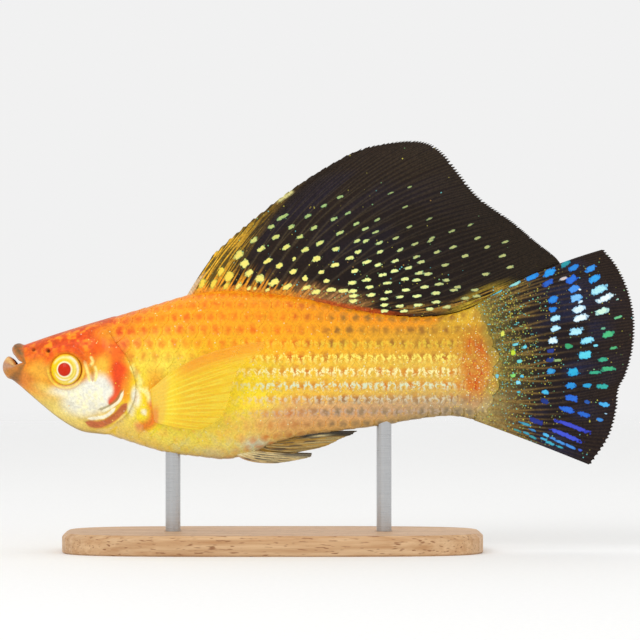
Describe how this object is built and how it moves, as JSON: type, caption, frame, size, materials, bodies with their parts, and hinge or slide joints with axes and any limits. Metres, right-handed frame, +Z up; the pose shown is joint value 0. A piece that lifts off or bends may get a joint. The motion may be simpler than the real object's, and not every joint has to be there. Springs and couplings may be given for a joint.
{
  "type": "giant sailfin molly",
  "caption": "Life-size display model of a male sailfin molly with a tall dorsal sail and a fan tail, held by rods on a flat base.",
  "frame": {"origin": "centre of the whole model's box at the underside of the stand's base", "axes": "+X from the snout towards the tail fin, +Y towards the fish's right side, +Z up towards the dorsal fin"},
  "size_m": [0.1264, 0.036, 0.0822],
  "materials": {
    "skin": "wet-looking scaled fish skin, orange back and gold flank",
    "lip": "soft brown-edged lips",
    "gill_cover": "silvery gold gill cover",
    "eye": "glossy red pupil in a pale gold iris",
    "dark_fin": "satin black fin membrane with blue and yellow spots",
    "pale_fin": "translucent yellow fin membrane with fine rays",
    "stand_wood": "satin oiled beech",
    "stand_rod": "brushed steel"
  },
  "bodies": {
    "root": {"head": "skin", "upper_jaw": "lip", "lower_jaw": "lip", "eye_left": "eye", "eye_right": "eye", "gill_cover_left": "gill_cover", "gill_cover_right": "gill_cover", "trunk": "skin", "tail_stem": "skin", "dorsal_fin": "dark_fin", "caudal_fin": "dark_fin", "anal_fin": "pale_fin", "pelvic_fin_left": "pale_fin", "pelvic_fin_right": "pale_fin", "pectoral_fin_left": "pale_fin", "pectoral_fin_right": "pale_fin", "stand_base": "stand_wood", "stand_rod_front": "stand_rod", "stand_rod_rear": "stand_rod"}
  },
  "joints": []
}
